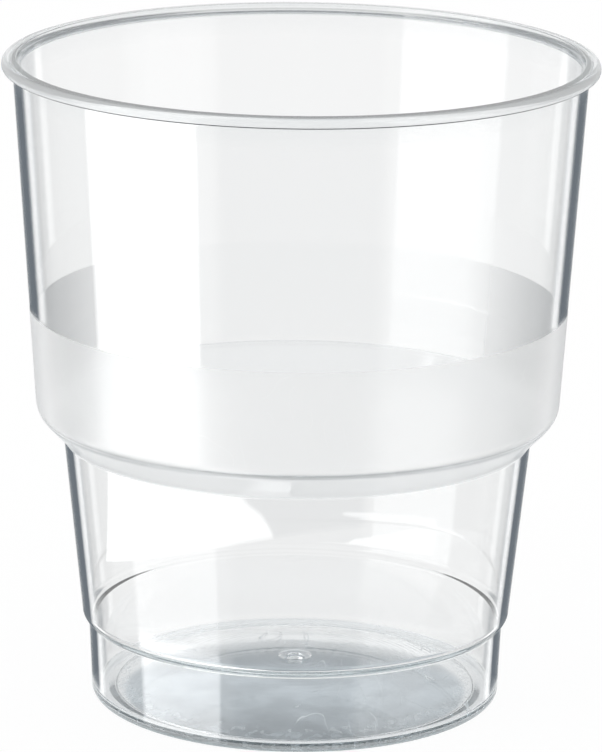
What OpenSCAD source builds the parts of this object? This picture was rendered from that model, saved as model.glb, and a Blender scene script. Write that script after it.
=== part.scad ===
// Clear stackable tumbler, one moulded piece, turned about the Z axis. Units are millimetres.
// The rim is at the top, the ring it stands on is at z = 0.

/* [Overall] */
// Diameter over the rim flange
rim_d = 80; // [70:0.5:95]
// Height from the table to the top of the rim
cup_h = 88.5; // [75:0.5:110]

/* [Rim] */
// How far the flange stands out past the wall
rim_overhang = 1.45; // [0.8:0.05:2.5]
// Height of the flange's outer edge
rim_t = 1.45; // [1.1:0.05:2.5]
// Rounding of the flange's upper edge
rim_round = 0.9; // [0.2:0.05:1.4]
// Rounding of the flange's lower edge
rim_under_round = 0.5; // [0.05:0.05:0.8]
// Rise of the flange's underside from its lip to the wall
rim_under_rise = 0.2; // [0:0.05:0.5]
// Rise of the rim's top from its outer edge to its crest
rim_crown = 0.05; // [0:0.05:0.5]
// Width of the bevel inside the mouth
mouth_bevel_w = 0.4; // [0.1:0.05:0.6]
// Depth of the bevel inside the mouth
mouth_bevel_h = 0.75; // [0.3:0.05:1.5]
// Fillet between the flange's underside and the wall
rim_fillet = 0.45; // [0.1:0.05:0.8]

/* [Upper wall] */
// Wall thickness of the upper body
upper_t = 1.0; // [0.7:0.05:1.6]
// Taper of the upper body from the vertical
upper_taper = 3.82; // [1:0.1:6]

/* [Shoulder] */
// Height of the shoulder's outer corner
shoulder_h = 40.3; // [30:0.5:50]
// Height that the shoulder's cone takes up below its corner
shoulder_drop = 3.8; // [2:0.1:6]
// Slope of the shoulder's cone from the vertical
shoulder_angle = 43.7; // [30:1:55]
// Rounding of the shoulder's outer corner
shoulder_round = 3.2; // [1:0.1:5]
// Rounding of the ledge's corners inside the cup
ledge_round = 1.0; // [0.3:0.1:2]

/* [Lower wall] */
// Wall thickness of the lower body
lower_t = 0.95; // [0.7:0.05:1.6]
// Taper of the lower body from the vertical
lower_taper = 5.95; // [2:0.1:8]

/* [Foot] */
// Height of the crease where the lower body meets the foot
foot_h = 10.7; // [8:0.1:16]
// Height of the turned-in edge above the crease
foot_bevel_h = 0.8; // [0.4:0.1:2]
// How far the crease lies inside the lower body's line
foot_inset = 0.75; // [0.3:0.05:1.5]
// Rounding of the lower body's bottom corner
foot_corner_round = 2.0; // [0.5:0.1:4]
// Taper of the foot from the vertical
foot_taper = 2.6; // [0.5:0.1:5]
// Wall thickness of the foot
foot_t = 1.0; // [0.7:0.05:1.6]
// Rounding of the foot's bottom edge
foot_round = 1.1; // [0.4:0.1:2]

/* [Floor] */
// Thickness of the floor
floor_t = 1.15; // [0.8:0.05:2]
// Width of the flat ring that the tumbler stands on, with its rounded edge
ring_w = 3.6; // [2.5:0.1:6]
// Height of the small step inside that ring
ring_step = 0.35; // [0.15:0.05:0.8]
// Rise of the domed underside above that step
dome_rise = 3.4; // [1.5:0.1:5]
// Rounding between the foot's wall and the floor, inside
floor_round = 1.2; // [0.4:0.1:2]

/* [Gate mark] */
// Diameter of the stub under the middle of the floor
gate_d = 2.0; // [1:0.1:4]
// Length of that stub
gate_l = 0.7; // [0.3:0.05:1.5]
// Diameter of the button inside, above the stub
button_d = 4.6; // [3:0.1:8]
// Height of that button
button_h = 0.5; // [0.2:0.05:1.0]

/* [Hidden] */
$fn = 96;
clear_colour = [0.90, 0.93, 0.95, 0.4];

// Outer radii and heights, from the rim down
rim_r = rim_d / 2;
wall_top_r = rim_r - rim_overhang;
rim_under_z = cup_h - rim_crown - rim_t;
rim_edge_z = cup_h - rim_crown;
shoulder_r = wall_top_r - tan(upper_taper) * (rim_under_z - shoulder_h);
waist_z = shoulder_h - shoulder_drop;
waist_r = shoulder_r - tan(shoulder_angle) * shoulder_drop;
bevel_z = foot_h + foot_bevel_h;
bevel_r = waist_r - tan(lower_taper) * (waist_z - bevel_z);
crease_r = waist_r - tan(lower_taper) * (waist_z - foot_h) - foot_inset;
foot_r = crease_r - tan(foot_taper) * foot_h;

// Inner radii: each inner line runs parallel to its outer one
upper_off = upper_t / cos(upper_taper);
lower_off = lower_t / cos(lower_taper);
cone_off = (upper_t + lower_t) / 2 / cos(shoulder_angle);
foot_off = foot_t / cos(foot_taper);
mouth_z = cup_h - mouth_bevel_h;
mouth_r = wall_top_r - upper_off + tan(upper_taper) * (mouth_z - rim_under_z);

// Height where the inner cone crosses the inner upper wall
ledge_z = shoulder_h + (cone_off - upper_off) / (tan(shoulder_angle) - tan(upper_taper));
ledge_r = shoulder_r - upper_off + tan(upper_taper) * (ledge_z - shoulder_h);
// Height where the inner cone crosses the inner lower wall
throat_z = waist_z + (cone_off - lower_off) / (tan(shoulder_angle) - tan(lower_taper));
throat_r = waist_r - lower_off + tan(lower_taper) * (throat_z - waist_z);
// The inner step above the foot, at the height of the outer crease
step_in_z = foot_h + foot_t * 0.35;
step_out_z = bevel_z + foot_t * 0.35;
step_in_r = crease_r - foot_off + tan(foot_taper) * (step_in_z - foot_h);
step_out_r = waist_r - lower_off - tan(lower_taper) * (waist_z - step_out_z);
pan_r = crease_r - foot_off - tan(foot_taper) * (foot_h - floor_t);

// Underside: a ring, a small step and a dome
recess_r = foot_r - ring_w;
dome_r = (recess_r * recess_r + dome_rise * dome_rise) / (2 * dome_rise);
dome_z = ring_step + dome_rise - dome_r;
floor_dome_r = dome_r + floor_t;
button_r = (button_d * button_d / 4 + button_h * button_h) / (2 * button_h);
floor_mid_z = dome_z + floor_dome_r;

// A corner: [radius from the axis, height, rounding, most of an edge that it may use up]
outline = [
    [0, 0, 0],
    [foot_r, 0, foot_round],
    [crease_r, foot_h, 0],
    [bevel_r, bevel_z, foot_corner_round],
    [waist_r, waist_z, 0.8],
    [shoulder_r, shoulder_h, shoulder_round],
    [wall_top_r, rim_under_z + rim_under_rise, rim_fillet],
    [rim_r - 0.02, rim_under_z, rim_under_round, 0.36],
    [rim_r, rim_edge_z, rim_round, 0.6],
    [mouth_r + mouth_bevel_w + 0.1, cup_h, 0.25],
    [0, cup_h, 0]];

cavity = [
    [0, floor_t, 0],
    [pan_r, floor_t, floor_round],
    [step_in_r, step_in_z, 0.4],
    [step_out_r, step_out_z, 1.2],
    [throat_r, throat_z, ledge_round],
    [ledge_r, ledge_z, ledge_round],
    [mouth_r, mouth_z, 0.6],
    [mouth_r + mouth_bevel_w, cup_h + 0.01, 0],
    [mouth_r + mouth_bevel_w, cup_h + 2, 0],
    [0, cup_h + 2, 0]];

function unit(v) = v / norm(v);
function flat(p) = [p[0], p[1]];
function before(pts, i) = flat(pts[(i + len(pts) - 1) % len(pts)]) - flat(pts[i]);
function after(pts, i) = flat(pts[(i + 1) % len(pts)]) - flat(pts[i]);
function half_angle(pts, i) = acos(unit(before(pts, i)) * unit(after(pts, i))) / 2;
// The rounding is kept short enough for both edges that it joins
function edge_share(p) = len(p) > 3 ? p[3] : 0.46;
function safe_round(pts, i) =
    min(pts[i][2],
        edge_share(pts[i]) * min(norm(before(pts, i)), norm(after(pts, i)))
            * tan(half_angle(pts, i)));
function turns_left(pts, i) =
    let (a = -before(pts, i), b = after(pts, i)) a[0] * b[1] - a[1] * b[0] > 0;

// Where the rounding of a corner starts and ends
function start_of(pts, i) =
    flat(pts[i]) + unit(before(pts, i)) * safe_round(pts, i) / tan(half_angle(pts, i));
function end_of(pts, i) =
    flat(pts[i]) + unit(after(pts, i)) * safe_round(pts, i) / tan(half_angle(pts, i));
// Each rounded corner is first cut or filled straight across, and its arc follows
function straightened(pts, i) =
    pts[i][2] > 0 ? [start_of(pts, i), end_of(pts, i)] : [flat(pts[i])];

// What lies between that straight line and the arc
module arc_bit(pts, i) {
    r = safe_round(pts, i);
    p = flat(pts[i]);
    inward = unit(unit(before(pts, i)) + unit(after(pts, i)));
    intersection() {
        polygon([start_of(pts, i), p, end_of(pts, i)]);
        translate(p + inward * r / sin(half_angle(pts, i))) circle(r = r);
    }
}

// A polygon with its listed corners rounded, convex and hollow ones alike
module rounded(pts) {
    difference() {
        union() {
            polygon([for (i = [0 : len(pts) - 1]) each straightened(pts, i)]);
            for (i = [0 : len(pts) - 1])
                if (pts[i][2] > 0 && turns_left(pts, i)) arc_bit(pts, i);
        }
        for (i = [0 : len(pts) - 1])
            if (pts[i][2] > 0 && !turns_left(pts, i)) arc_bit(pts, i);
    }
}

// The hollow under the floor: the step, then the dome
module recess() {
    intersection() {
        union() {
            translate([0, -1]) square([recess_r, ring_step + 1]);
            translate([0, dome_z]) circle(r = dome_r, $fn = 200);
        }
        translate([0, -1]) square([recess_r, cup_h]);
    }
}

// The space inside, with the dome of the floor standing up in it
module hollow() {
    difference() {
        rounded(cavity);
        translate([0, dome_z]) circle(r = floor_dome_r, $fn = 200);
        translate([0, floor_mid_z + button_h - button_r]) circle(r = button_r);
    }
}

module section() {
    difference() {
        rounded(outline);
        hollow();
        recess();
    }
    // the stub left by the gate
    translate([0, floor_mid_z - floor_t - gate_l]) square([gate_d / 2, gate_l + floor_t / 2]);
}

module tumbler() {
    color(clear_colour) rotate_extrude() section();
}

tumbler();
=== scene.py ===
"""Clear stackable tumbler on a plain pale floor, in metres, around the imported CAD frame."""

import logging
import math
from dataclasses import dataclass
from enum import Enum

import bpy
from mathutils import Matrix, Vector


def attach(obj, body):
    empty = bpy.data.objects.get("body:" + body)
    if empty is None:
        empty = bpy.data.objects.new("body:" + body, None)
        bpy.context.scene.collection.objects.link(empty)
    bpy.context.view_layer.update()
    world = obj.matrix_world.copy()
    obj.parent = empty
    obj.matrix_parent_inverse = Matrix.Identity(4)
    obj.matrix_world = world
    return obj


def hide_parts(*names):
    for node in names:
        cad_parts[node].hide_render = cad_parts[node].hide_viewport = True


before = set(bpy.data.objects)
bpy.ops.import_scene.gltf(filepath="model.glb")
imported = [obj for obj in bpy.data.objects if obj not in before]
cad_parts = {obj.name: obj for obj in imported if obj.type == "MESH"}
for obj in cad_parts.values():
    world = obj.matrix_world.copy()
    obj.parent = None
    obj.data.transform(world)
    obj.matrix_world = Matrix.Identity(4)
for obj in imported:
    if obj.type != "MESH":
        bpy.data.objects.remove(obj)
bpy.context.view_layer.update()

LOG = logging.getLogger("tumbler")
MM = 0.001
PHOTO_WIDE, PHOTO_HIGH = 602, 752
Point = tuple[float, float]
SectionPoint = tuple[float, float, float, float, float, float]
Place = tuple[float, float, float]
Colour = tuple[float, float, float, float]
Output = bpy.types.NodeSocket
WHITE: Colour = (1.0, 1.0, 1.0, 1.0)


class Face(Enum):
    """Which side of the wall a stretch of the section lies on."""

    INSIDE = "inside"
    OUTSIDE = "outside"


def share(value: float) -> float:
    """The value, kept between 0 and 1."""
    return max(0.0, min(1.0, value))


# ---------------- section


@dataclass(frozen=True)
class Corner:
    """A corner of the wall's section, with the rounding that the mould gives it."""

    r: float
    z: float
    rounding: float = 0.0
    steps: int = 6
    share: float = 0.46


@dataclass(frozen=True)
class WallSection:
    """The tumbler's sizes in millimetres, as in the CAD source, and the section that they give.

    The fields from frost_top on say where the surface is matte, hazy or worn, or painted dark as
    shade under the rim's lip, and how much, and how closely the section's points stand.
    """

    rim_d: float = 80.0
    cup_h: float = 88.5
    rim_overhang: float = 1.45
    rim_t: float = 1.45
    rim_round: float = 0.9
    rim_draft: float = 0.02
    rim_under_round: float = 0.5
    rim_under_rise: float = 0.2
    rim_crown: float = 0.05
    mouth_bevel_w: float = 0.4
    mouth_bevel_h: float = 0.75
    mouth_round: float = 0.6
    crest_round: float = 0.22
    rim_fillet: float = 0.45
    upper_t: float = 1.0
    upper_taper: float = 3.82
    shoulder_h: float = 40.3
    shoulder_drop: float = 3.8
    shoulder_angle: float = 43.7
    shoulder_round: float = 3.2
    waist_round: float = 0.8
    ledge_round: float = 1.0
    lower_t: float = 0.95
    lower_taper: float = 5.95
    foot_h: float = 10.7
    foot_bevel_h: float = 0.8
    foot_inset: float = 0.75
    foot_corner_round: float = 2.0
    foot_taper: float = 2.6
    foot_t: float = 1.0
    foot_round: float = 1.1
    step_share: float = 0.35
    step_in_round: float = 0.4
    step_out_round: float = 1.2
    floor_t: float = 1.15
    ring_w: float = 3.6
    ring_step: float = 0.35
    dome_rise: float = 3.4
    dome_round: float = 0.3
    floor_round: float = 1.2
    gate_d: float = 2.0
    gate_l: float = 0.7
    gate_round: float = 0.1
    button_d: float = 4.6
    button_h: float = 0.5
    button_round: float = 0.35
    edge_round: float = 0.12

    frost_top: float = 54.7
    frost_low: float = 39.9
    frost_edge: float = 0.25
    rim_haze: float = 0.18
    lip_haze: float = 0.5
    lip_w: float = 1.1
    lip_fade: float = 0.6
    cone_haze: float = 0.6
    cone_depth: float = 0.5
    edge_haze: float = 0.28
    edge_w: float = 1.5
    edge_drop: float = 0.04
    base_haze: float = 0.05
    wall_wear: float = 0.015
    # Where the painted dark shade under the rim's lip lies, standing in for light trapped there.
    lip_shade_h: float = 0.3
    lip_shade_in: float = 0.75
    lip_shade_out: float = 0.08
    reach: float = 0.2
    button_points: tuple[float, ...] = (0.0, 0.5, 1.0, 1.4, 1.8)
    dome_steps: int = 22
    long_step: float = 3.6
    guard: float = 0.14

    @staticmethod
    def slope(degrees: float) -> float:
        """Radius gained for each millimetre of height at a taper."""
        return math.tan(math.radians(degrees))

    @staticmethod
    def level(thickness: float, degrees: float) -> float:
        """Thickness of a tapered wall, measured level."""
        return thickness / math.cos(math.radians(degrees))

    @property
    def rim_r(self) -> float:
        """Radius over the rim flange."""
        return self.rim_d / 2

    @property
    def rim_edge(self) -> float:
        """Height of the flange's upper edge."""
        return self.cup_h - self.rim_crown

    @property
    def rim_under(self) -> float:
        """Height of the flange's underside at its lip."""
        return self.rim_edge - self.rim_t

    @property
    def wall_top(self) -> float:
        """Radius of the wall where it meets the flange."""
        return self.rim_r - self.rim_overhang

    @property
    def shoulder_r(self) -> float:
        """Radius of the shoulder's outer corner."""
        return self.wall_top - self.slope(self.upper_taper) * (self.rim_under - self.shoulder_h)

    @property
    def waist_z(self) -> float:
        """Height where the shoulder's cone ends."""
        return self.shoulder_h - self.shoulder_drop

    @property
    def waist_r(self) -> float:
        """Radius where the shoulder's cone ends."""
        return self.shoulder_r - self.slope(self.shoulder_angle) * self.shoulder_drop

    @property
    def bevel_z(self) -> float:
        """Height where the lower wall starts to turn in above the foot."""
        return self.foot_h + self.foot_bevel_h

    @property
    def crease_r(self) -> float:
        """Radius of the crease above the foot."""
        return self.lower_r(self.foot_h) - self.foot_inset

    @property
    def foot_r(self) -> float:
        """Radius of the foot at the table."""
        return self.crease_r - self.slope(self.foot_taper) * self.foot_h

    @property
    def recess_r(self) -> float:
        """Radius of the recess under the floor."""
        return self.foot_r - self.ring_w

    def cone_r(self, z: float) -> float:
        """Radius of the shoulder's outer cone at a height."""
        return self.shoulder_r - self.slope(self.shoulder_angle) * (self.shoulder_h - z)

    def lower_r(self, z: float) -> float:
        """Radius of the lower wall's outside at a height."""
        return self.waist_r - self.slope(self.lower_taper) * (self.waist_z - z)

    def outer_corners(self) -> list[Corner]:
        """The outside of the wall, from the rim's crest down to the recess under the floor.

        Returns:
            Corners in millimetres, in order.
        """
        return [
            Corner(self.rim_r, self.rim_edge, self.rim_round, 14, 0.6),
            Corner(self.rim_r - self.rim_draft, self.rim_under, self.rim_under_round, 10, 0.36),
            Corner(self.wall_top, self.rim_under + self.rim_under_rise, self.rim_fillet, 6),
            Corner(self.shoulder_r, self.shoulder_h, self.shoulder_round, 16),
            Corner(self.waist_r, self.waist_z, self.waist_round, 8),
            Corner(self.lower_r(self.bevel_z), self.bevel_z, self.foot_corner_round, 10),
            Corner(self.crease_r, self.foot_h, self.edge_round, 5),
            Corner(self.foot_r, 0.0, self.foot_round, 12),
            Corner(self.recess_r, 0.0, self.edge_round, 5),
            Corner(self.recess_r, self.ring_step, self.edge_round, 5),
        ]

    def inner_corners(self) -> list[Corner]:
        """The inside of the wall, from the floor's flat edge up to the rim's crest.

        Returns:
            Corners in millimetres, in order.
        """
        up, low = self.slope(self.upper_taper), self.slope(self.lower_taper)
        cone, foot = self.slope(self.shoulder_angle), self.slope(self.foot_taper)
        upper_off = self.level(self.upper_t, self.upper_taper)
        lower_off = self.level(self.lower_t, self.lower_taper)
        cone_off = self.level((self.upper_t + self.lower_t) / 2, self.shoulder_angle)
        foot_off = self.level(self.foot_t, self.foot_taper)
        mouth_z = self.cup_h - self.mouth_bevel_h
        mouth_r = self.wall_top - upper_off + up * (mouth_z - self.rim_under)
        ledge_z = self.shoulder_h + (cone_off - upper_off) / (cone - up)
        ledge_r = self.shoulder_r - upper_off + up * (ledge_z - self.shoulder_h)
        throat_z = self.waist_z + (cone_off - lower_off) / (cone - low)
        throat_r = self.waist_r - lower_off + low * (throat_z - self.waist_z)
        step_in_z = self.foot_h + self.foot_t * self.step_share
        step_out_z = self.bevel_z + self.foot_t * self.step_share
        step_in_r = self.crease_r - foot_off + foot * (step_in_z - self.foot_h)
        step_out_r = self.lower_r(step_out_z) - lower_off
        pan_r = self.crease_r - foot_off - foot * (self.foot_h - self.floor_t)
        return [
            Corner(pan_r, self.floor_t, self.floor_round, 12),
            Corner(step_in_r, step_in_z, self.step_in_round, 6),
            Corner(step_out_r, step_out_z, self.step_out_round, 8),
            Corner(throat_r, throat_z, self.ledge_round, 10),
            Corner(ledge_r, ledge_z, self.ledge_round, 10),
            Corner(mouth_r, mouth_z, self.mouth_round, 6),
            Corner(mouth_r + self.mouth_bevel_w, self.cup_h, self.crest_round, 8),
        ]

    def dome(self) -> tuple[float, float, float]:
        """The ball that the domed underside is part of.

        Returns:
            The ball's radius, the height of its middle, and the top of the floor over it.
        """
        radius = (self.recess_r**2 + self.dome_rise**2) / (2 * self.dome_rise)
        middle = self.ring_step + self.dome_rise - radius
        return radius, middle, middle + radius + self.floor_t

    def floor_corners(self) -> list[Corner]:
        """The floor's upper side, from the axis out to where the dome meets the flat edge.

        Returns:
            Corners in millimetres, in order.
        """
        ball, middle, crest = self.dome()
        ball += self.floor_t
        half = self.button_d / 2
        cap = (half**2 + self.button_h**2) / (2 * self.button_h)
        cap_mid = crest + self.button_h - cap
        corners = [Corner(r, cap_mid + math.sqrt(cap**2 - r**2)) for r in self.button_points]
        corners.append(Corner(half, middle + math.sqrt(ball**2 - half**2), self.button_round, 5))
        edge = math.sqrt(ball**2 - (self.floor_t - middle) ** 2)
        for i in range(1, self.dome_steps):
            r = half + (edge - half) * i / self.dome_steps
            corners.append(Corner(r, middle + math.sqrt(ball**2 - r**2)))
        corners.append(Corner(edge, self.floor_t, self.dome_round, 5))
        return corners

    def under_corners(self) -> list[Corner]:
        """The dome's underside, from the recess's step in to the stub of the gate.

        Returns:
            Corners in millimetres, in order.
        """
        ball, middle, crest = self.dome()
        stub = self.gate_d / 2
        low = crest - self.floor_t - self.gate_l
        corners = []
        for i in range(1, self.dome_steps):
            r = self.recess_r + (stub - self.recess_r) * i / self.dome_steps
            corners.append(Corner(r, middle + math.sqrt(ball**2 - r**2)))
        corners.append(Corner(stub, middle + math.sqrt(ball**2 - stub**2), self.gate_round, 4))
        corners.append(Corner(stub, low, self.edge_round, 5))
        corners.append(Corner(0.0, low))
        return corners

    @staticmethod
    def arc(before: Corner, at: Corner, after: Corner) -> list[Point]:
        """The points of a corner, rounded as far as both of its edges allow.

        Args:
            before: The corner before it.
            at: The corner itself.
            after: The corner after it.

        Returns:
            One point for a sharp corner, or the points of its arc.
        """
        p = Vector((at.r, at.z))
        u, v = Vector((before.r, before.z)) - p, Vector((after.r, after.z)) - p
        if at.rounding <= 0:
            return [(at.r, at.z)]
        half = u.angle(v) / 2
        radius = min(at.rounding, at.share * min(u.length, v.length) * math.tan(half))
        u.normalize()
        v.normalize()
        middle = p + (u + v).normalized() * (radius / math.sin(half))
        start, end = p + u * (radius / math.tan(half)), p + v * (radius / math.tan(half))
        a, b = start - middle, end - middle
        turn = math.atan2(a.x * b.y - a.y * b.x, a.dot(b))
        points = []
        for i in range(at.steps + 1):
            t = turn * i / at.steps
            across = a.x * math.cos(t) - a.y * math.sin(t)
            up = a.x * math.sin(t) + a.y * math.cos(t)
            points.append((middle.x + across, middle.y + up))
        return points

    def spread(self, points: list[Point]) -> list[Point]:
        """Adds points along the long straight stretches, close to their ends and between.

        Args:
            points: The section's points.

        Returns:
            The same line with more points on it.
        """
        made = [points[0]]
        for a, b in zip(points, points[1:]):
            length = math.dist(a, b)
            if length > 4 * self.guard:
                inner = max(1, round(length / self.long_step))
                ends = self.guard / length
                between = [ends + (1 - 2 * ends) * i / inner for i in range(1, inner)]
                for t in [ends, *between, 1 - ends]:
                    made.append((a[0] + (b[0] - a[0]) * t, a[1] + (b[1] - a[1]) * t))
            made.append(b)
        return made

    def frost(self, z: float) -> float:
        """How much the mould's matte texture covers the outside at a height, from 0 to 1."""
        return share(min(self.frost_top - z, z - self.frost_low) / self.frost_edge)

    def haze(self, r: float, z: float) -> float:
        """How much light a stretch of the surface scatters, where the plastic is thick or worn.

        Args:
            r: Radius in millimetres.
            z: Height in millimetres.

        Returns:
            A share from 0 to 1.
        """
        if z > self.rim_under - self.reach and r > self.wall_top - self.upper_t - self.reach:
            lip = share((r - self.rim_r + self.lip_w) / self.lip_fade)
            return self.rim_haze + (self.lip_haze - self.rim_haze) * lip
        on_cone = r > self.cone_r(z) - self.cone_depth
        if self.waist_z - self.reach < z < self.shoulder_h and on_cone:
            fade = 2 * self.frost_edge
            return self.cone_haze * share((self.frost_low + fade - z) / fade)
        if z < self.floor_t - self.edge_drop and r > self.recess_r + self.edge_w:
            return self.edge_haze
        return self.base_haze if self.low(r, z) else 0.0

    def crease(self, r: float, z: float) -> float:
        """How much painted dark shade a stretch gets, standing in for light trapped under the
        flange's lip.
        """
        by_lip = self.rim_r - self.lip_shade_in < r < self.rim_r - self.lip_shade_out
        return 1.0 if by_lip and abs(z - self.rim_under) < self.lip_shade_h else 0.0

    def wear(self, r: float, z: float) -> float:
        """How scratched a stretch of the surface is, from 0 to 1."""
        return 1.0 if self.low(r, z) else self.wall_wear

    def low(self, r: float, z: float) -> bool:
        """Whether a point of the section is part of the floor, which rubs on tables and stacks."""
        top = self.ring_step + self.dome_rise + self.floor_t + self.button_h + self.reach / 2
        return z < top and (z < self.reach or r < self.recess_r)

    def line(self) -> tuple[list[Point], list[Point]]:
        """The section as two lines of points that meet at the rim's crest.

        Returns:
            The inside, from the axis on the floor, and the outside, to the axis underneath.
        """
        inside = self.floor_corners() + self.inner_corners()
        corners = inside + self.outer_corners() + self.under_corners()
        line: list[Point] = []
        faces: list[Face] = []
        for i, corner in enumerate(corners):
            if 0 < i < len(corners) - 1:
                arc = self.arc(corners[i - 1], corner, corners[i + 1])
            else:
                arc = [(corner.r, corner.z)]
            line += arc
            faces += [Face.INSIDE if i < len(inside) else Face.OUTSIDE] * len(arc)
        crest = faces.index(Face.OUTSIDE)
        return self.spread(line[:crest]), self.spread(line[crest - 1 :])[1:]

    def points(self) -> list[SectionPoint]:
        """The whole section, from the axis on the floor, over the rim, to the axis underneath.

        Returns:
            Radius, height, frost, haze, wear and painted lip shade of each point, in millimetres
            and shares.
        """
        inner, outer = self.line()
        top, low, edge = self.frost_top, self.frost_low, self.frost_edge
        for z in (top, top - edge, low + edge, low):
            for i in range(len(outer) - 1):
                (r0, z0), (r1, z1) = outer[i], outer[i + 1]
                if z0 > z > z1:
                    t = (z0 - z) / (z0 - z1)
                    outer.insert(i + 1, (r0 + (r1 - r0) * t, z))
                    break
        frosted = [(r, z, 0.0) for r, z in inner] + [(r, z, self.frost(z)) for r, z in outer]
        return [
            (r, z, frost, self.haze(r, z), self.wear(r, z), self.crease(r, z))
            for r, z, frost in frosted
        ]


# ---------------- node helpers


class Wiring:
    """Adds and joins nodes in one tree."""

    def __init__(self, tree: bpy.types.NodeTree) -> None:
        """Keeps the tree that nodes are added to."""
        self.tree = tree

    def add(self, kind: str, **settings: object) -> bpy.types.Node:
        """Adds a node.

        Args:
            kind: The node's type name.
            **settings: Properties to set on it.

        Returns:
            The new node.
        """
        node = self.tree.nodes.new(kind)
        for name, value in settings.items():
            setattr(node, name, value)
        return node

    def feed(self, socket: bpy.types.NodeSocket, value: object) -> None:
        """Links an output to a socket, or sets the socket's own value."""
        if isinstance(value, bpy.types.NodeSocket):
            self.tree.links.new(value, socket)
        else:
            socket.default_value = value

    def fill(self, node: bpy.types.Node, **inputs: object) -> bpy.types.Node:
        """Feeds a node's inputs by name.

        Args:
            node: The node.
            **inputs: What each input gets, with _ for the space in its name.

        Returns:
            The same node.
        """
        for name, value in inputs.items():
            self.feed(node.inputs[name.replace("_", " ")], value)
        return node

    def math(self, kind: str, *values: object, clamp: bool = False) -> Output:
        """A Math node.

        Args:
            kind: The operation.
            *values: Its inputs, as numbers or outputs.
            clamp: Whether its result stays between 0 and 1.

        Returns:
            The node's output.
        """
        node = self.add("ShaderNodeMath", operation=kind, use_clamp=clamp)
        for socket, value in zip(node.inputs, values):
            self.feed(socket, value)
        return node.outputs[0]

    def times(self, first: object, *others: object) -> Output:
        """The product of all the values."""
        for other in others:
            first = self.math("MULTIPLY", first, other)
        return first

    def ramp(
        self, value: object, low: float, high: float, to_low: float = 0.0, to_high: float = 1.0
    ) -> Output:
        """A smooth step of a value from one range to another.

        Args:
            value: The output that is read.
            low: Where the step starts.
            high: Where the step ends.
            to_low: The result at low.
            to_high: The result at high.

        Returns:
            The node's output.
        """
        node = self.add("ShaderNodeMapRange", interpolation_type="SMOOTHSTEP")
        self.fill(node, Value=value, From_Min=low, From_Max=high, To_Min=to_low, To_Max=to_high)
        return node.outputs["Result"]

    def span(self, value: object, low: float, high: float, edge: float) -> Output:
        """One between two values and nought outside them, with soft edges.

        Args:
            value: The output that is read.
            low: Where the span starts.
            high: Where the span ends.
            edge: Half the width of its edges.

        Returns:
            The node's output.
        """
        start = self.ramp(value, low - edge, low + edge)
        end = self.ramp(value, high - edge, high + edge, 1.0, 0.0)
        return self.times(start, end)

    def apart(self, place: Output) -> list[Output]:
        """The three parts of a place or a direction."""
        node = self.add("ShaderNodeSeparateXYZ")
        self.feed(node.inputs[0], place)
        return list(node.outputs)

    def joined(self, x: object, y: object, z: object) -> Output:
        """A place made of its three parts."""
        return self.fill(self.add("ShaderNodeCombineXYZ"), X=x, Y=y, Z=z).outputs[0]

    def away(self, place: Output, middle: Place) -> Output:
        """How far a place is from a middle."""
        node = self.add("ShaderNodeVectorMath", operation="DISTANCE")
        self.feed(node.inputs[0], place)
        self.feed(node.inputs[1], middle)
        return node.outputs["Value"]

    def noise(self, place: Output, scale: object, detail: float) -> Output:
        """Cloudy noise over a place."""
        node = self.add("ShaderNodeTexNoise")
        return self.fill(node, Vector=place, Scale=scale, Detail=detail).outputs[0]

    def mask(self, name: str) -> Output:
        """One of the masks that the mesh carries."""
        return self.add(
            "ShaderNodeAttribute", attribute_type="GEOMETRY", attribute_name=name
        ).outputs["Fac"]

    def tinted(self, fac: object, first: object, second: object, blend: str = "MIX") -> Output:
        """Two colours, mixed.

        Args:
            fac: The share of the second.
            first: The first colour.
            second: The second colour.
            blend: How they mix.

        Returns:
            The mixed colour.
        """
        node = self.add("ShaderNodeMixRGB", blend_type=blend)
        return self.fill(node, Fac=fac, Color1=first, Color2=second).outputs[0]

    def mixed(self, fac: object, first: Output, second: Output) -> Output:
        """Two shaders, mixed by the share of the second."""
        node = self.add("ShaderNodeMixShader")
        for socket, value in zip(node.inputs, (fac, first, second)):
            self.feed(socket, value)
        return node.outputs[0]


def emptied(owner: bpy.types.ID, output: str) -> tuple[Wiring, bpy.types.Node]:
    """Clears the nodes of a material or a world.

    Args:
        owner: The material or the world.
        output: The type name of its output node.

    Returns:
        The wiring of its tree, and its new output node.
    """
    owner.use_nodes = True
    owner.node_tree.nodes.clear()
    w = Wiring(owner.node_tree)
    return w, w.add(output)


# ---------------- lathe


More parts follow.
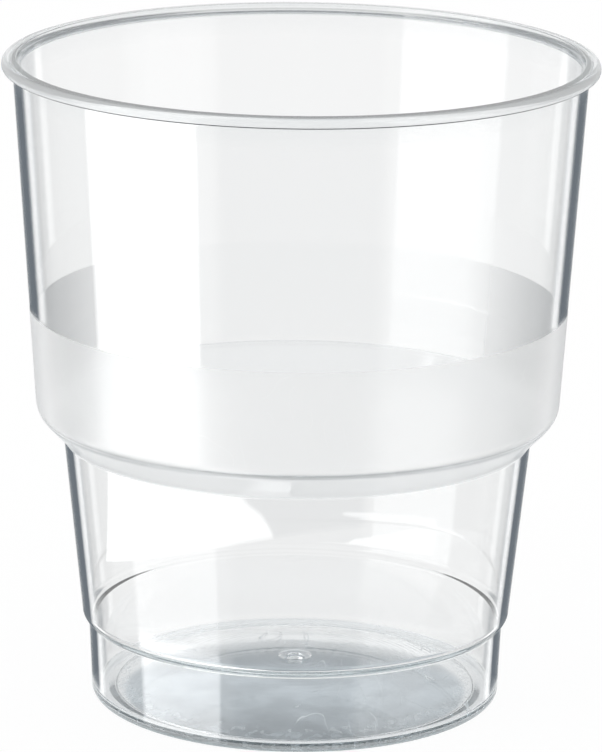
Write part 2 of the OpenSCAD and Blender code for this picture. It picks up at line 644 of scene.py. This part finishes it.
@dataclass(frozen=True)
class Lathe:
    """Turns a section about the Z axis with Geometry Nodes, and keeps its masks as attributes.

    The wall ripples very slightly, always inwards, and not at all at the axis.
    """

    segments: int = 240
    ripple: float = 0.018 * MM
    ripple_scale: float = 1.4
    ripple_detail: float = 1.0
    ripple_inset: float = 1.1
    ripple_height: float = 12.0
    calm_r: float = 8 * MM
    seed: float = 3.7
    weld: float = 0.002 * MM
    masks: tuple[str, ...] = ("frost", "haze", "wear", "crease")

    def blank(self, points: list[SectionPoint]) -> bpy.types.Object:
        """The section as a mesh of points in the XZ plane.

        Args:
            points: Radius, height and masks of each point, in millimetres and shares.

        Returns:
            The object that the tree turns.
        """
        mesh = bpy.data.meshes.new("tumbler_section")
        mesh.from_pydata([(p[0] * MM, 0.0, p[1] * MM) for p in points], [], [])
        for place, name in enumerate(self.masks, 2):
            mask = mesh.attributes.new(name, "FLOAT", "POINT")
            mask.data.foreach_set("value", [p[place] for p in points])
        blank = bpy.data.objects.new("moulded_tumbler", mesh)
        bpy.context.scene.collection.objects.link(blank)
        return blank

    def sockets(self, tree: bpy.types.NodeTree) -> None:
        """Gives the tree its named inputs and its output."""
        for name, side, kind in (
            ("Geometry", "INPUT", "Geometry"),
            ("Segments", "INPUT", "Int"),
            ("Section Points", "INPUT", "Int"),
            ("Ripple", "INPUT", "Float"),
            ("Ripple Scale", "INPUT", "Float"),
            ("Seed", "INPUT", "Float"),
            ("Plastic", "INPUT", "Material"),
            ("Geometry", "OUTPUT", "Geometry"),
        ):
            tree.interface.new_socket(name, in_out=side, socket_type=f"NodeSocket{kind}")

    def taken(self, w: Wiring, kind: str, given: Output, value: Output, along: Output) -> Output:
        """Reads a value of the section at a point along it.

        Args:
            w: The tree's wiring.
            kind: The value's type.
            given: The section.
            value: What is read.
            along: The point's number.

        Returns:
            The value there.
        """
        node = w.add("GeometryNodeSampleIndex", data_type=kind, domain="POINT")
        return w.fill(node, Geometry=given, Value=value, Index=along).outputs[0]

    def tree(self) -> bpy.types.NodeTree:
        """Builds the Geometry Nodes tree.

        Returns:
            A tree with named inputs for its sizes and its material.
        """
        tree = bpy.data.node_groups.new("turned_section", "GeometryNodeTree")
        self.sockets(tree)
        w = Wiring(tree)
        given, result = w.add("NodeGroupInput").outputs, w.add("NodeGroupOutput")
        section, count = given["Geometry"], given["Section Points"]
        grid = w.add("GeometryNodeMeshGrid")
        w.fill(grid, Vertices_X=w.math("ADD", given["Segments"], 1.0), Vertices_Y=count)
        index = w.add("GeometryNodeInputIndex").outputs[0]
        turn = w.math("FLOOR", w.math("DIVIDE", w.math("ADD", index, 0.5), count))
        along = w.math("SUBTRACT", index, w.times(turn, count))
        angle = w.math("DIVIDE", w.times(turn, 2 * math.pi), given["Segments"])
        cosine, sine = w.math("COSINE", angle), w.math("SINE", angle)
        position = w.add("GeometryNodeInputPosition").outputs[0]
        r, _, z = w.apart(self.taken(w, "FLOAT_VECTOR", section, position, along))
        wave = w.add("ShaderNodeTexNoise", noise_dimensions="4D")
        w.fill(
            wave,
            Vector=w.joined(cosine, sine, w.times(z, self.ripple_height)),
            W=given["Seed"],
            Scale=given["Ripple Scale"],
            Detail=self.ripple_detail,
        )
        inset = w.math("SUBTRACT", wave.outputs[0], self.ripple_inset)
        bend = w.times(inset, given["Ripple"], w.ramp(r, 0.0, self.calm_r))
        radius = w.math("ADD", r, bend)
        spot = w.joined(w.times(radius, cosine), w.times(radius, sine), z)
        shape = grid.outputs["Mesh"]
        for name in self.masks:
            mask = w.add("GeometryNodeInputNamedAttribute", data_type="FLOAT")
            w.fill(mask, Name=name)
            value = self.taken(w, "FLOAT", section, mask.outputs["Attribute"], along)
            keep = w.add("GeometryNodeStoreNamedAttribute", data_type="FLOAT", domain="POINT")
            shape = w.fill(keep, Geometry=shape, Name=name, Value=value).outputs[0]
        moved = w.fill(w.add("GeometryNodeSetPosition"), Geometry=shape, Position=spot)
        weld = w.add("GeometryNodeMergeByDistance")
        shape = w.fill(weld, Geometry=moved.outputs[0], Distance=self.weld).outputs[0]
        for kind in (
            "GeometryNodeFlipFaces",
            "GeometryNodeSetShadeSmooth",
            "GeometryNodeRealizeInstances",
        ):
            step = w.add(kind)
            w.feed(step.inputs[0], shape)
            shape = step.outputs[0]
        dress = w.add("GeometryNodeSetMaterial")
        w.fill(dress, Geometry=shape, Material=given["Plastic"])
        w.feed(result.inputs[0], dress.outputs[0])
        return tree

    def turn(self, points: list[SectionPoint], plastic: bpy.types.Material) -> bpy.types.Object:
        """Turns the section and makes the result a plain mesh.

        Args:
            points: Radius, height and masks of each point, in millimetres and shares.
            plastic: The material of the whole surface.

        Returns:
            The closed mesh object, at the origin.
        """
        blank = self.blank(points)
        modifier = blank.modifiers.new("turn", "NODES")
        modifier.node_group = self.tree()
        values = {
            "Segments": self.segments,
            "Section Points": len(points),
            "Ripple": self.ripple,
            "Ripple Scale": self.ripple_scale,
            "Seed": self.seed,
            "Plastic": plastic,
        }
        for item in modifier.node_group.interface.items_tree:
            if item.in_out == "INPUT" and item.name in values:
                modifier[item.identifier] = values[item.name]
        bpy.context.view_layer.update()
        seen = blank.evaluated_get(bpy.context.evaluated_depsgraph_get())
        solid = bpy.data.meshes.new_from_object(seen)
        blank.modifiers.remove(modifier)
        old, blank.data = blank.data, solid
        bpy.data.meshes.remove(old)
        solid.materials.clear()
        solid.materials.append(plastic)
        solid.polygons.foreach_set("material_index", [0] * len(solid.polygons))
        solid.name = "moulded_tumbler"
        return blank


# ---------------- finishes


@dataclass(frozen=True)
class HandlingMarks:
    """Fine curved scratches in patches, and a rubbed ring round the floor, as one node group."""

    name: str = "handling_marks"
    inputs: tuple[tuple[str, float], ...] = (
        ("Size", 300.0),
        ("Width", 0.010),
        ("Cover", 0.52),
        ("Patch Size", 110.0),
    )
    cover_edge: float = 0.06
    grain: Place = (1.0, 0.35, 0.7)
    turn: Place = (0.5, 0.3, 0.9)
    ring_in: float = 22.6 * MM
    ring_out: float = 24.2 * MM
    ring_edge: float = 0.5 * MM
    ring_top: float = 2.2 * MM
    speck_scale: float = 900.0
    speck_detail: float = 2.0
    specks: tuple[float, float] = (0.53, 0.6)

    def group(self) -> bpy.types.NodeTree:
        """Builds the group, or gives the one already made.

        Returns:
            A shader group with the outputs Scuff and Rub.
        """
        if self.name in bpy.data.node_groups:
            return bpy.data.node_groups[self.name]
        tree = bpy.data.node_groups.new(self.name, "ShaderNodeTree")
        for name, value in self.inputs:
            socket = tree.interface.new_socket(name, in_out="INPUT", socket_type="NodeSocketFloat")
            socket.default_value = value
        for name in ("Scuff", "Rub"):
            tree.interface.new_socket(name, in_out="OUTPUT", socket_type="NodeSocketFloat")
        w = Wiring(tree)
        given, result = w.add("NodeGroupInput").outputs, w.add("NodeGroupOutput")
        place = w.add("ShaderNodeTexCoord").outputs["Object"]
        drawn = w.add("ShaderNodeMapping")
        w.fill(drawn, Vector=place, Rotation=self.turn, Scale=self.grain)
        bands = w.noise(drawn.outputs[0], given["Size"], 0.0)
        off = w.math("ABSOLUTE", w.math("SUBTRACT", bands, 0.5))
        line = w.ramp(off, 0.0, given["Width"], 1.0, 0.0)
        patch = w.noise(place, given["Patch Size"], 0.0)
        full = w.math("ADD", given["Cover"], self.cover_edge)
        scuff = w.times(line, w.ramp(patch, given["Cover"], full))
        x, y, z = w.apart(place)
        across = w.math("SQRT", w.math("ADD", w.times(x, x), w.times(y, y)))
        ring = w.span(across, self.ring_in, self.ring_out, self.ring_edge)
        ring = w.times(ring, w.math("LESS_THAN", z, self.ring_top))
        broken = w.noise(place, self.speck_scale, self.speck_detail)
        w.fill(result, Scuff=scuff, Rub=w.times(ring, w.ramp(broken, *self.specks)))
        return tree


@dataclass(frozen=True)
class MouldedPlastic:
    """Clear glossy plastic, matte, milky or scratched where the mesh's masks say so, with a
    painted dark shade under the rim's lip.
    """

    name: str = "clear_moulded_plastic"
    clear: Colour = WHITE
    frosted: Colour = (0.97, 0.973, 0.973, 1.0)
    milky: Colour = (0.905, 0.91, 0.912, 1.0)
    hazed: Colour = (0.835, 0.85, 0.855, 1.0)
    # Colour of the painted shade under the rim's lip.
    lip_shade_colour: Colour = (0.08, 0.085, 0.09, 1.0)
    shadow: Colour = (0.845, 0.866, 0.882, 1.0)
    tint: Colour = (0.0, 0.26, 0.30, 1.0)
    grey: float = 16.0
    ior: float = 1.59
    gloss: float = 0.0
    matte: float = 0.25
    matte_through: float = 0.13
    matte_aslant: float = 0.34
    aslant: tuple[float, float] = (0.02, 0.16)
    milk: float = 0.32
    slant_milk: float = 0.35
    milk_slant: tuple[float, float] = (0.4, 0.85)
    milk_rough: float = 0.6
    hazy_from: float = 0.05
    one_sided: tuple[float, float] = (0.3, 0.4)
    far_haze: float = 0.25
    scratch: float = 0.8
    scratch_rough: float = 0.35
    rub: float = 0.3
    # How much of the surface under the rim's lip the painted shade covers.
    lip_shade_share: float = 0.82
    grain_scale: float = 2600.0
    grain_height: float = 0.25
    bump: float = 0.25
    bump_depth: float = 0.03 * MM

    def relief(self, w: Wiring, frost: Output, worn: Output) -> Output:
        """The frost's grain and the scratches, as a normal.

        Args:
            w: The material's wiring.
            frost: How matte the surface is.
            worn: Where the scratches are.

        Returns:
            The bent normal.
        """
        place = w.add("ShaderNodeTexCoord").outputs["Object"]
        grain = w.math("SUBTRACT", w.noise(place, self.grain_scale, 0.0), 0.5)
        height = w.math("SUBTRACT", w.times(grain, frost, self.grain_height), worn)
        bump = w.add("ShaderNodeBump")
        w.fill(bump, Strength=self.bump, Distance=self.bump_depth, Height=height)
        return bump.outputs[0]

    def roughness(
        self, w: Wiring, frost: Output, worn: Output, outer: Output, slant: Output
    ) -> Output:
        """Matte on the frost, less so where it is seen through the wall, and on the scratches.

        Args:
            w: The material's wiring.
            frost: How matte the surface is.
            worn: Where the scratches are.
            outer: One where the surface is seen from outside the plastic.
            slant: How much the surface slants away from the eye.

        Returns:
            The roughness.
        """
        far_side = w.ramp(slant, *self.aslant, self.matte_through, self.matte_aslant)
        near_side = w.math("SUBTRACT", self.matte, far_side)
        rough = w.add("ShaderNodeMapRange")
        spread = w.math("MULTIPLY_ADD", outer, near_side, far_side)
        w.fill(rough, Value=frost, To_Min=self.gloss, To_Max=spread)
        marked = w.times(worn, self.scratch_rough)
        return w.math("ADD", rough.outputs[0], marked, clamp=True)

    def milk_body(self, w: Wiring, haze: Output, crease: Output, normal: Output) -> Output:
        """What the plastic scatters: milky on the frost, greyer where hazy, with a painted dark
        shade under the rim's lip.

        Args:
            w: The material's wiring.
            haze: How hazy the surface is.
            crease: How much painted dark shade it gets under the rim's lip.
            normal: The bent normal.

        Returns:
            The shader.
        """
        cloudy = w.tinted(w.ramp(haze, 0.0, self.hazy_from), self.milky, self.hazed)
        body = w.add("ShaderNodeBsdfPrincipled")
        w.fill(
            body,
            # Under the rim's lip the colour is a painted dark shade.
            Base_Color=w.tinted(crease, cloudy, self.lip_shade_colour),
            Roughness=self.milk_rough,
            Normal=normal,
        )
        return body.outputs[0]

    def material(self) -> bpy.types.Material:
        """Builds the material.

        Returns:
            The finished material.
        """
        mat = bpy.data.materials.new(self.name)
        w, result = emptied(mat, "ShaderNodeOutputMaterial")
        frost, haze, wear, crease = (w.mask(name) for name in Lathe.masks)
        marks = w.add("ShaderNodeGroup", node_tree=HandlingMarks().group())
        worn = w.times(marks.outputs["Scuff"], wear)
        outer = w.math("SUBTRACT", 1.0, w.add("ShaderNodeNewGeometry").outputs["Backfacing"])
        slant = w.add("ShaderNodeLayerWeight").outputs["Facing"]
        normal = self.relief(w, frost, worn)
        glass = w.add("ShaderNodeBsdfPrincipled")
        w.fill(
            glass,
            Base_Color=w.tinted(frost, self.clear, self.frosted),
            Roughness=self.roughness(w, frost, worn, outer, slant),
            IOR=self.ior,
            Transmission_Weight=1.0,
            Normal=normal,
        )
        thick = w.ramp(slant, *self.milk_slant, self.milk, self.milk + self.slant_milk)
        white = w.times(frost, outer, thick)
        sides = w.math("MAXIMUM", outer, w.ramp(haze, *self.one_sided, 1.0, self.far_haze))
        # Under the rim's lip the dark milky share is painted shade.
        cloud = w.math("MULTIPLY_ADD", crease, self.lip_shade_share, haze)
        cloud = w.math("MULTIPLY_ADD", worn, self.scratch, cloud)
        cloud = w.math("MULTIPLY_ADD", marks.outputs["Rub"], self.rub, cloud)
        scattered = w.math("MULTIPLY_ADD", cloud, sides, white, clamp=True)
        body = w.mixed(scattered, glass.outputs[0], self.milk_body(w, haze, crease, normal))
        path = w.add("ShaderNodeLightPath").outputs
        passing = w.math("MAXIMUM", path["Is Shadow Ray"], path["Is Diffuse Ray"])
        clear = w.fill(w.add("ShaderNodeBsdfTransparent"), Color=self.shadow)
        depth = w.add("ShaderNodeVolumeAbsorption")
        w.fill(depth, Color=self.tint, Density=self.grey)
        w.fill(
            result, Surface=w.mixed(passing, body, clear.outputs[0]), Volume=depth.outputs[0]
        )
        return mat


@dataclass(frozen=True)
class FloorPaint:
    """Plain pale floor that keeps the tumbler's shadow, with a painted shadow under the tumbler
    and a painted glowing pool of light beside it.

    Gloss and clear walls see it plain under the tumbler, half sheer round it, where the cards show
    through, and not at all behind it and further out. Its sizes are in metres.
    """

    name: str = "pale_floor"
    colour: Colour = (0.93, 0.93, 0.93, 1.0)
    white: float = 0.93
    shown: float = 0.7
    sheen: float = 0.31
    foot_sheen: float = 0.95
    foot_far: float = 0.051
    foot_edge: float = 0.004
    foot_r: float = 0.029
    behind: float = 0.002
    edge: float = 0.0015
    # Painted shadow: a darker, mottled disc on the floor under the tumbler, mostly seen through
    # its walls.
    shade_r: float = 0.0225
    shade_edge: float = 0.001
    shade_middle: Place = (0.0, -0.002, 0.0)
    front_shade: float = 0.5
    front_span: tuple[float, float] = (-0.024, -0.002)
    back_shade: float = 0.62
    back_span: tuple[float, float] = (0.003, 0.015)
    mottle: float = 0.12
    mottle_scale: float = 150.0
    mottle_detail: float = 2.0
    mottle_span: tuple[float, float] = (0.35, 0.65)
    near_r: float = 0.0803
    near_edge: float = 0.0006
    near_middle: Place = (0.006, -0.008, 0.0)
    # A painted pool of light: a glowing patch of floor to the left of the tumbler.
    pool_r: float = 0.113
    pool_light: float = 2.6
    pool_front: float = -0.091
    pool_back: float = 0.010
    pool_side: float = -0.027
    pool_bend: float = 30.0

    def pool(self, w: Wiring, x: Output, y: Output, r: Output, far: Output) -> Output:
        """Where the painted pool of light lies, to the left of the tumbler.

        Args:
            w: The material's wiring.
            x: Place across the view.
            y: Place along the view.
            r: Distance from the tumbler's axis.
            far: One outside the round patch near the tumbler.

        Returns:
            One in the pool and nought outside it.
        """
        bent = w.math("MAXIMUM", w.math("SUBTRACT", x, self.pool_side), 0.0)
        along = w.math("SUBTRACT", y, w.times(w.times(bent, bent), self.pool_bend))
        sides = w.span(along, self.pool_front, self.pool_back, self.edge / 2)
        sides = w.times(sides, w.math("LESS_THAN", x, 0.0))
        return w.times(far, sides, w.math("LESS_THAN", r, self.pool_r))

    def paint(self, w: Wiring, place: Output, y: Output, lit: Output) -> Output:
        """The floor's colour, with a painted shadow in a disc under the tumbler, darker towards
        its front and back and mottled.

        Args:
            w: The material's wiring.
            place: Place on the floor.
            y: Place along the view.
            lit: Nought in the painted shadow and one outside it.

        Returns:
            The shader.
        """
        front = w.ramp(y, *self.front_span, self.front_shade, 1.0)
        rear = w.ramp(y, *self.back_span, 1.0, self.back_shade)
        clouds = w.noise(place, self.mottle_scale, self.mottle_detail)
        uneven = w.ramp(clouds, *self.mottle_span, 1.0 - self.mottle, 1.0 + self.mottle)
        shade = w.times(front, rear, uneven)
        colour = w.tinted(w.math("SUBTRACT", 1.0, lit), self.colour, shade, "MULTIPLY")
        return w.fill(w.add("ShaderNodeBsdfDiffuse"), Color=colour).outputs[0]

    def material(self) -> bpy.types.Material:
        """Builds the material.

        Returns:
            The finished material.
        """
        mat = bpy.data.materials.new(self.name)
        w, result = emptied(mat, "ShaderNodeOutputMaterial")
        place = w.add("ShaderNodeTexCoord").outputs["Object"]
        x, y, _ = w.apart(place)
        r = w.away(place, (0.0, 0.0, 0.0))
        from_near = w.away(place, self.near_middle)
        from_shade = w.away(place, self.shade_middle)
        far = w.ramp(from_near, self.near_r, self.near_r + self.near_edge)
        # lit is nought in the disc of painted shadow under the tumbler.
        lit = w.ramp(from_shade, self.shade_r, self.shade_r + self.shade_edge)
        pool = self.pool(w, x, y, r, far)
        path = w.add("ShaderNodeLightPath").outputs
        through = w.math("MAXIMUM", path["Is Glossy Ray"], path["Is Transmission Ray"])
        shown = w.math("MAXIMUM", w.times(lit, self.shown), pool)
        glowing = w.times(through, shown)
        glowing = w.math("MULTIPLY_ADD", path["Is Camera Ray"], self.white, glowing)
        # The painted pool of light glows brighter than white, seen only in reflections and through
        # the clear walls.
        bright = w.times(pool, through, self.pool_light - 1.0)
        glow = w.add("ShaderNodeEmission")
        w.fill(glow, Color=WHITE, Strength=w.math("ADD", bright, 1.0))
        solid = w.mixed(glowing, self.paint(w, place, y, lit), glow.outputs[0])
        behind = w.ramp(y, self.behind, self.behind + self.edge)
        foot_end = self.foot_far + self.foot_edge
        sheen = w.ramp(r, self.foot_far, foot_end, self.foot_sheen, self.sheen)
        sheer = w.math("MAXIMUM", w.math("MAXIMUM", far, behind), sheen)
        beside = w.ramp(r, self.foot_r, self.foot_r + self.edge)
        gap = w.times(beside, sheer, w.math("SUBTRACT", 1.0, pool))
        gone = w.add("ShaderNodeBsdfTransparent").outputs[0]
        w.fill(result, Surface=w.mixed(w.times(through, gap), solid, gone))
        return mat


# ---------------- studio


@dataclass(frozen=True)
class SoftLamp:
    """A square soft lamp that points at the tumbler's middle."""

    name: str
    place: Place
    size: float
    power: float
    target: Place = (0.0, 0.0, 0.045)

    def build(self) -> bpy.types.Object:
        """Adds the lamp to the scene.

        Returns:
            The lamp object.
        """
        data = bpy.data.lights.new(self.name, "AREA")
        data.shape, data.size, data.energy = "SQUARE", self.size, self.power
        lamp = bpy.data.objects.new(self.name, data)
        lamp.location = self.place
        aim = Vector(self.target) - Vector(self.place)
        lamp.rotation_euler = aim.to_track_quat("-Z", "Y").to_euler()
        lamp.visible_camera = lamp.visible_glossy = lamp.visible_transmission = False
        bpy.context.scene.collection.objects.link(lamp)
        return lamp


class Bearing(Enum):
    """How the two ends of a card's width are measured, in degrees."""

    LEFT = "round from the camera, to its left"
    BEHIND = "to either side of straight behind the tumbler"
    FRONT = "to either side of the camera"


@dataclass(frozen=True)
class Card:
    """A light or dark card that stands round the tumbler and shows in its walls.

    Its ends and its soft edges are in degrees: near and far round the tumbler, low and high up.
    """

    bearing: Bearing
    near: float
    far: float
    low: float
    high: float
    light: float
    edge: float = 1.0
    rim: float = 1.0


CARDS = (
    Card(Bearing.BEHIND, 30.0, 66.0, -90.0, 90.0, 0.73, 3.0, 2.0),
    Card(Bearing.BEHIND, -400.0, 30.0, -90.0, -26.0, 0.9, 4.0, 2.0),
    Card(Bearing.LEFT, -79.0, -36.0, -24.0, 8.0, 1.05, 5.0, 4.0),
    Card(Bearing.FRONT, -400.0, 35.4, -24.0, 8.0, 0.58, 3.0, 5.0),
    Card(Bearing.FRONT, -400.0, 35.4, -90.0, -24.0, 0.20, 3.0, 2.0),
    Card(Bearing.BEHIND, -400.0, 32.5, -26.0, -8.0, 0.18, 2.0, 2.0),
    Card(Bearing.BEHIND, 33.5, 41.0, -30.0, -6.0, 1.5, 1.5, 3.0),
    Card(Bearing.BEHIND, -400.0, 10.5, -26.0, 12.0, 0.96, 1.5, 2.5),
    Card(Bearing.BEHIND, -400.0, 10.5, -26.0, -15.8, 0.92, 1.5, 0.6),
    Card(Bearing.BEHIND, -400.0, 30.0, 14.0, 90.0, 0.50, 2.0, 3.0),
    Card(Bearing.LEFT, 43.0, 96.0, -90.0, -12.0, 3.6, 1.2, 2.0),
    Card(Bearing.LEFT, 43.0, 96.0, -12.0, 55.0, 1.9, 1.2, 2.0),
)
LAMPS = (
    SoftLamp("key", (-0.7, -0.5, 0.9), 0.7, 3.2),
    SoftLamp("fill", (0.8, -0.3, 0.7), 0.8, 1.6),
    SoftLamp("back", (0.1, 0.9, 0.8), 0.8, 1.6),
)


@dataclass(frozen=True)
class Studio:
    """The pale floor, the light and the camera, in metres and degrees."""

    camera_back: float = 0.65493
    camera_up: float = 0.21970
    pitch: float = 14.9644
    roll: float = 0.6141
    focal_px: float = 5001.15
    middle_px: tuple[float, float] = (298.01, 374.30)
    sensor: float = 36.0
    clip: tuple[float, float] = (0.05, 20.0)
    floor_r: float = 0.9
    floor_sides: int = 64
    floor_drop: float = 0.00002
    ambient: Colour = (0.8, 0.8, 0.8, 1.0)
    room: float = 0.78
    cool: Colour = (0.88, 1.0, 1.14, 1.0)
    cool_span: tuple[float, float] = (0.1, 0.7)
    reflections: int = 12
    cards: tuple[Card, ...] = CARDS
    lamps: tuple[SoftLamp, ...] = LAMPS

    def camera(self) -> bpy.types.Object:
        """Sets the camera up as the photograph's.

        Returns:
            The camera object.
        """
        data = bpy.data.cameras.new("view")
        data.sensor_width = self.sensor
        data.lens = data.sensor_width * self.focal_px / PHOTO_HIGH
        data.shift_x = (PHOTO_WIDE / 2 - self.middle_px[0]) / PHOTO_HIGH
        data.shift_y = (self.middle_px[1] - PHOTO_HIGH / 2) / PHOTO_HIGH
        data.clip_start, data.clip_end = self.clip
        camera = bpy.data.objects.new("view", data)
        place = Matrix.Translation((0, -self.camera_back, self.camera_up))
        tilt = Matrix.Rotation(math.radians(90 - self.pitch), 4, "X")
        spin = Matrix.Rotation(math.radians(self.roll), 4, "Z")
        camera.matrix_world = place @ tilt @ spin
        bpy.context.scene.collection.objects.link(camera)
        bpy.context.scene.camera = camera
        return camera

    def floor(self) -> bpy.types.Object:
        """A round floor under the tumbler.

        Returns:
            The floor object.
        """
        mesh = bpy.data.meshes.new("floor")
        angles = [2 * math.pi * i / self.floor_sides for i in range(self.floor_sides)]
        ring = [(self.floor_r * math.cos(a), self.floor_r * math.sin(a), 0.0) for a in angles]
        mesh.from_pydata(ring, [], [list(range(self.floor_sides))])
        mesh.materials.append(FloorPaint().material())
        floor = bpy.data.objects.new("floor", mesh)
        floor.location.z = -self.floor_drop
        bpy.context.scene.collection.objects.link(floor)
        return floor

    def carded(self, w: Wiring) -> Output:
        """The room with its cards, as gloss and clear walls see it.

        Args:
            w: The world's wiring.

        Returns:
            The light in each direction.
        """
        x, y, z = w.apart(w.add("ShaderNodeTexCoord").outputs["Generated"])
        left = w.times(w.math("ARCTAN2", x, w.times(y, -1.0)), -180 / math.pi)
        front = w.math("ABSOLUTE", left)
        behind = w.math("SUBTRACT", 180.0, front)
        bearings = {Bearing.LEFT: left, Bearing.FRONT: front, Bearing.BEHIND: behind}
        rise = w.times(w.math("ARCSINE", z), 180 / math.pi)
        seen: object = self.room
        for card in self.cards:
            across = w.span(bearings[card.bearing], card.near, card.far, card.edge)
            mask = w.times(across, w.span(rise, card.low, card.high, card.rim))
            seen = w.math("MULTIPLY_ADD", mask, w.math("SUBTRACT", card.light, seen), seen)
        return seen

    def world(self) -> bpy.types.World:
        """The room: white to the camera, even light, and soft cards that the walls show.

        Returns:
            The world.
        """
        world = bpy.data.worlds.new("studio")
        w, result = emptied(world, "ShaderNodeOutputWorld")
        seen = self.carded(w)
        path = w.add("ShaderNodeLightPath").outputs
        shown = w.math("MAXIMUM", path["Is Glossy Ray"], path["Is Transmission Ray"])
        dark = w.ramp(seen, *self.cool_span, 1.0, 0.0)
        cooled = w.tinted(dark, seen, self.cool, "MULTIPLY")
        light = w.tinted(shown, self.ambient, cooled)
        sky = w.add("ShaderNodeBackground")
        w.fill(sky, Color=w.tinted(path["Is Camera Ray"], light, WHITE))
        w.fill(result, Surface=sky.outputs[0])
        world.cycles.sampling_method = "NONE"
        bpy.context.scene.world = world
        return world

    def build(self) -> None:
        """Sets up the camera, floor, room and lamps."""
        self.camera()
        self.floor()
        self.world()
        for lamp in self.lamps:
            lamp.build()
        bpy.context.scene.view_settings.view_transform = "Standard"
        bpy.context.scene.cycles.glossy_bounces = self.reflections


# ---------------- tumbler


@dataclass(frozen=True)
class Tumbler:
    """The one moulded piece."""

    section: WallSection = WallSection()
    lathe: Lathe = Lathe()
    finish: MouldedPlastic = MouldedPlastic()

    def build(self) -> bpy.types.Object:
        """Turns the wall's section, dresses it and puts it in the CAD node's place.

        Returns:
            The finished piece.
        """
        piece = self.lathe.turn(self.section.points(), self.finish.material())
        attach(piece, "root")
        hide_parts("tumbler")
        LOG.info("%s: %d faces", piece.name, len(piece.data.polygons))
        return piece


def main() -> None:
    """Builds the studio and the tumbler."""
    logging.basicConfig(level=logging.INFO)
    Studio().build()
    Tumbler().build()


if __name__ == "__main__":
    main()
